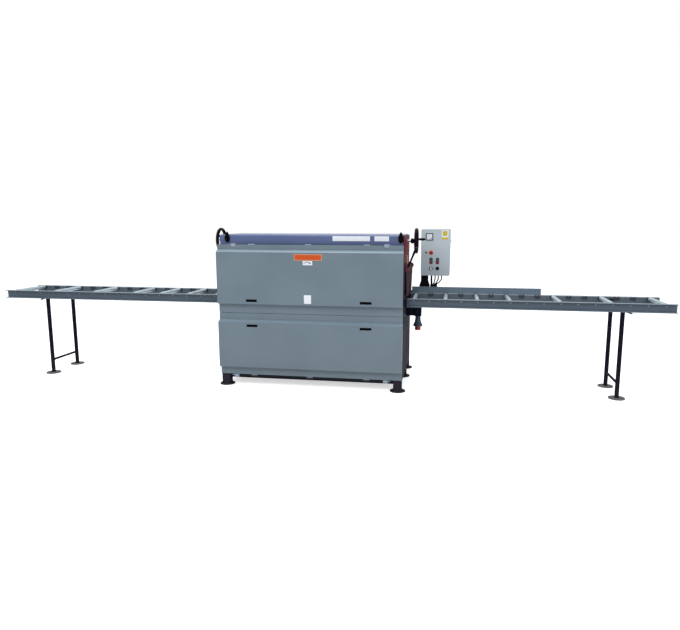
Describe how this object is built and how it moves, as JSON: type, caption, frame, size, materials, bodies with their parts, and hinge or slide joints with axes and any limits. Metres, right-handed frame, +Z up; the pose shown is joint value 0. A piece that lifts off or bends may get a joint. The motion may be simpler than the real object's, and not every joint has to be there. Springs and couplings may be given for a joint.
{
  "type": "multi rip saw",
  "caption": "Gang rip saw: a closed cabinet with an arbor of circular blades, driven feed and pressure rollers, a control box, and a roller table at each end.",
  "frame": {"origin": "middle of the part's box on the floor", "axes": "+X towards the infeed table's free end, along the timber's path; +Y away from the operator; +Z up"},
  "size_m": [6.6886, 1.145, 1.561],
  "materials": {
    "beam_paint": "satin",
    "belt_rubber": "matt",
    "black_metal": "semi gloss",
    "black_plastic": "moulded",
    "blade_steel": "ground",
    "box_paint": "satin",
    "cable_black": "matt",
    "cast_iron": "painted casting",
    "cover_paint": "satin",
    "green_plastic": "moulded",
    "inlet_grey": "moulded",
    "motor_paint": "satin",
    "navy_paint": "satin",
    "rail_paint": "satin",
    "rear_paint": "satin",
    "red_paint": "satin",
    "red_plastic": "moulded",
    "steel": "machined",
    "stop_rubber": "matt",
    "white_plastic": "moulded",
    "zinc": "zinc plated"
  },
  "bodies": {
    "machine": {"main_frame": "navy_paint", "infeed_end_plate": "red_paint", "upper_hinge": "zinc", "lower_hinge": "zinc", "top_hood": "beam_paint", "cover_stop_outfeed": "stop_rubber", "cover_stop_infeed": "stop_rubber", "rear_cover": "rear_paint", "arbor_housing": "cast_iron", "main_motor": "motor_paint", "drive_belt": "belt_rubber", "feed_gearbox": "motor_paint", "infeed_table_frame": "rail_paint", "outfeed_table_frame": "rail_paint", "infeed_fence": "rail_paint", "control_box": "box_paint", "control_post": "black_metal", "control_cables": "cable_black", "power_inlet": "inlet_grey"},
    "upper_cover": {"upper_cover": "cover_paint"},
    "lower_cover": {"lower_cover": "cover_paint"},
    "arbor": {"saw_arbor": "steel", "blade_gang": "blade_steel"},
    "motor_pulley": {"motor_pulley": "cast_iron"},
    "feed_roller_infeed": {"feed_roller_infeed": "steel"},
    "feed_roller_outfeed": {"feed_roller_outfeed": "steel"},
    "height_shaft": {"height_shaft": "steel", "handwheel_infeed": "black_metal", "handwheel_outfeed": "black_metal"},
    "lifting_screw_infeed": {"lifting_screw_infeed": "steel"},
    "lifting_screw_outfeed": {"lifting_screw_outfeed": "steel"},
    "pressure_yoke_infeed": {"pressure_yoke_infeed": "cast_iron"},
    "pressure_yoke_outfeed": {"pressure_yoke_outfeed": "cast_iron"},
    "pressure_roller_infeed": {"pressure_roller_infeed": "steel"},
    "pressure_roller_outfeed": {"pressure_roller_outfeed": "steel"},
    "kickback_fingers": {"kickback_fingers": "red_paint"},
    "infeed_leg_frame": {"infeed_leg_frame": "navy_paint"},
    "outfeed_leg_frame": {"outfeed_leg_frame": "navy_paint"},
    "control_door": {"control_box_door": "box_paint"},
    "emergency_stop": {"emergency_stop": "red_plastic"},
    "start_button_saw": {"start_button_saw": "green_plastic"},
    "stop_button_saw": {"stop_button_saw": "red_plastic"},
    "start_button_feed": {"start_button_feed": "green_plastic"},
    "stop_button_feed": {"stop_button_feed": "red_plastic"},
    "selector_switch": {"selector_switch": "white_plastic"},
    "speed_knob": {"speed_knob": "black_plastic"},
    "infeed_roller_1": {"infeed_roller_1": "zinc"},
    "infeed_roller_2": {"infeed_roller_2": "zinc"},
    "infeed_roller_3": {"infeed_roller_3": "zinc"},
    "infeed_roller_4": {"infeed_roller_4": "zinc"},
    "infeed_roller_5": {"infeed_roller_5": "zinc"},
    "infeed_roller_6": {"infeed_roller_6": "zinc"},
    "infeed_roller_7": {"infeed_roller_7": "zinc"},
    "outfeed_roller_1": {"outfeed_roller_1": "zinc"},
    "outfeed_roller_2": {"outfeed_roller_2": "zinc"},
    "outfeed_roller_3": {"outfeed_roller_3": "zinc"},
    "outfeed_roller_4": {"outfeed_roller_4": "zinc"},
    "outfeed_roller_5": {"outfeed_roller_5": "zinc"},
    "outfeed_roller_6": {"outfeed_roller_6": "zinc"},
    "outfeed_roller_7": {"outfeed_roller_7": "zinc"}
  },
  "joints": [
    {"name": "upper_cover_lift", "type": "hinge", "parent": "machine", "child": "upper_cover", "pos_m": [0, -0.5145, 1.402], "axis": [-1, 0, 0], "range_deg": [0, 156]},
    {"name": "lower_cover_drop", "type": "hinge", "parent": "machine", "child": "lower_cover", "pos_m": [0, -0.5145, 0.103], "axis": [1, 0, 0], "range_deg": [0, 90]},
    {"name": "arbor_turn", "type": "hinge", "parent": "machine", "child": "arbor", "pos_m": [0, -0.1725, 1.11], "axis": [0, 1, 0], "continuous": true},
    {"name": "motor_pulley_turn", "type": "hinge", "parent": "machine", "child": "motor_pulley", "pos_m": [0, -0.1725, 0.372], "axis": [0, 1, 0], "continuous": true},
    {"name": "infeed_feed_turn", "type": "hinge", "parent": "machine", "child": "feed_roller_infeed", "pos_m": [0.5, -0.1725, 0.845], "axis": [0, 1, 0], "continuous": true},
    {"name": "outfeed_feed_turn", "type": "hinge", "parent": "machine", "child": "feed_roller_outfeed", "pos_m": [-0.5, -0.1725, 0.845], "axis": [0, 1, 0], "continuous": true},
    {"name": "height_turn", "type": "hinge", "parent": "machine", "child": "height_shaft", "pos_m": [0, -0.1025, 1.436], "axis": [1, 0, 0], "range_deg": [-2700, 5400]},
    {"name": "infeed_screw_turn", "type": "hinge", "parent": "machine", "child": "lifting_screw_infeed", "pos_m": [0.59, -0.1025, 1.2], "axis": [0, 0, 1], "range_deg": [-2701, 5401]},
    {"name": "outfeed_screw_turn", "type": "hinge", "parent": "machine", "child": "lifting_screw_outfeed", "pos_m": [-0.59, -0.1025, 1.2], "axis": [0, 0, 1], "range_deg": [-5401, 2701]},
    {"name": "infeed_yoke_lift", "type": "slide", "parent": "machine", "child": "pressure_yoke_infeed", "axis": [0, 0, 1], "range_m": [-0.0451, 0.0901]},
    {"name": "outfeed_yoke_lift", "type": "slide", "parent": "machine", "child": "pressure_yoke_outfeed", "axis": [0, 0, 1], "range_m": [-0.0451, 0.0901]},
    {"name": "infeed_pressure_turn", "type": "hinge", "parent": "pressure_yoke_infeed", "child": "pressure_roller_infeed", "pos_m": [0.5, -0.1725, 1.015], "axis": [0, 1, 0], "continuous": true},
    {"name": "outfeed_pressure_turn", "type": "hinge", "parent": "pressure_yoke_outfeed", "child": "pressure_roller_outfeed", "pos_m": [-0.5, -0.1725, 1.015], "axis": [0, 1, 0], "continuous": true},
    {"name": "kickback_lift", "type": "hinge", "parent": "machine", "child": "kickback_fingers", "pos_m": [0.94, -0.1725, 1.185], "axis": [0, 1, 0], "range_deg": [0, 40]},
    {"name": "infeed_roller_1_turn", "type": "hinge", "parent": "machine", "child": "infeed_roller_1", "pos_m": [1, -0.1725, 0.885], "axis": [0, 1, 0], "continuous": true},
    {"name": "infeed_roller_2_turn", "type": "hinge", "parent": "machine", "child": "infeed_roller_2", "pos_m": [1.3, -0.1725, 0.885], "axis": [0, 1, 0], "continuous": true},
    {"name": "infeed_roller_3_turn", "type": "hinge", "parent": "machine", "child": "infeed_roller_3", "pos_m": [1.6, -0.1725, 0.885], "axis": [0, 1, 0], "continuous": true},
    {"name": "infeed_roller_4_turn", "type": "hinge", "parent": "machine", "child": "infeed_roller_4", "pos_m": [1.9, -0.1725, 0.885], "axis": [0, 1, 0], "continuous": true},
    {"name": "infeed_roller_5_turn", "type": "hinge", "parent": "machine", "child": "infeed_roller_5", "pos_m": [2.35, -0.1725, 0.885], "axis": [0, 1, 0], "continuous": true},
    {"name": "infeed_roller_6_turn", "type": "hinge", "parent": "machine", "child": "infeed_roller_6", "pos_m": [2.8, -0.1725, 0.885], "axis": [0, 1, 0], "continuous": true},
    {"name": "infeed_roller_7_turn", "type": "hinge", "parent": "machine", "child": "infeed_roller_7", "pos_m": [3.25, -0.1725, 0.885], "axis": [0, 1, 0], "continuous": true},
    {"name": "infeed_leg_height", "type": "slide", "parent": "machine", "child": "infeed_leg_frame", "axis": [0, 0, -1], "range_m": [-0.05, 0.08]},
    {"name": "outfeed_roller_1_turn", "type": "hinge", "parent": "machine", "child": "outfeed_roller_1", "pos_m": [-1, -0.1725, 0.885], "axis": [0, 1, 0], "continuous": true},
    {"name": "outfeed_roller_2_turn", "type": "hinge", "parent": "machine", "child": "outfeed_roller_2", "pos_m": [-1.3, -0.1725, 0.885], "axis": [0, 1, 0], "continuous": true},
    {"name": "outfeed_roller_3_turn", "type": "hinge", "parent": "machine", "child": "outfeed_roller_3", "pos_m": [-1.6, -0.1725, 0.885], "axis": [0, 1, 0], "continuous": true},
    {"name": "outfeed_roller_4_turn", "type": "hinge", "parent": "machine", "child": "outfeed_roller_4", "pos_m": [-1.9, -0.1725, 0.885], "axis": [0, 1, 0], "continuous": true},
    {"name": "outfeed_roller_5_turn", "type": "hinge", "parent": "machine", "child": "outfeed_roller_5", "pos_m": [-2.35, -0.1725, 0.885], "axis": [0, 1, 0], "continuous": true},
    {"name": "outfeed_roller_6_turn", "type": "hinge", "parent": "machine", "child": "outfeed_roller_6", "pos_m": [-2.8, -0.1725, 0.885], "axis": [0, 1, 0], "continuous": true},
    {"name": "outfeed_roller_7_turn", "type": "hinge", "parent": "machine", "child": "outfeed_roller_7", "pos_m": [-3.25, -0.1725, 0.885], "axis": [0, 1, 0], "continuous": true},
    {"name": "outfeed_leg_height", "type": "slide", "parent": "machine", "child": "outfeed_leg_frame", "axis": [0, 0, -1], "range_m": [-0.05, 0.08]},
    {"name": "control_door_swing", "type": "hinge", "parent": "machine", "child": "control_door", "pos_m": [1.33, 0.2332, 1.305], "axis": [0, 0, 1], "range_deg": [0, 120]},
    {"name": "emergency_stop_push", "type": "slide", "parent": "control_door", "child": "emergency_stop", "axis": [0, 1, 0], "range_m": [0, 0.004]},
    {"name": "start_saw_push", "type": "slide", "parent": "control_door", "child": "start_button_saw", "axis": [0, 1, 0], "range_m": [0, 0.004], "stiffness_N_per_m": 500},
    {"name": "stop_saw_push", "type": "slide", "parent": "control_door", "child": "stop_button_saw", "axis": [0, 1, 0], "range_m": [0, 0.004], "stiffness_N_per_m": 500},
    {"name": "start_feed_push", "type": "slide", "parent": "control_door", "child": "start_button_feed", "axis": [0, 1, 0], "range_m": [0, 0.004], "stiffness_N_per_m": 500},
    {"name": "stop_feed_push", "type": "slide", "parent": "control_door", "child": "stop_button_feed", "axis": [0, 1, 0], "range_m": [0, 0.004], "stiffness_N_per_m": 500},
    {"name": "selector_turn", "type": "hinge", "parent": "control_door", "child": "selector_switch", "pos_m": [1.136, 0.2275, 1.141], "axis": [0, 1, 0], "range_deg": [-45, 45]},
    {"name": "speed_knob_turn", "type": "hinge", "parent": "control_door", "child": "speed_knob", "pos_m": [1.203, 0.2275, 1.141], "axis": [0, 1, 0], "range_deg": [0, 270]}
  ],
  "couplings": [
    {"joint": "motor_pulley_turn", "follows": "arbor_turn", "ratio": 0.8},
    {"joint": "outfeed_feed_turn", "follows": "infeed_feed_turn", "ratio": 1},
    {"joint": "infeed_yoke_lift", "follows": "height_turn", "m_per_rad": 0.00095493},
    {"joint": "outfeed_yoke_lift", "follows": "height_turn", "m_per_rad": 0.00095493},
    {"joint": "infeed_screw_turn", "follows": "height_turn", "ratio": 1},
    {"joint": "outfeed_screw_turn", "follows": "height_turn", "ratio": -1}
  ]
}
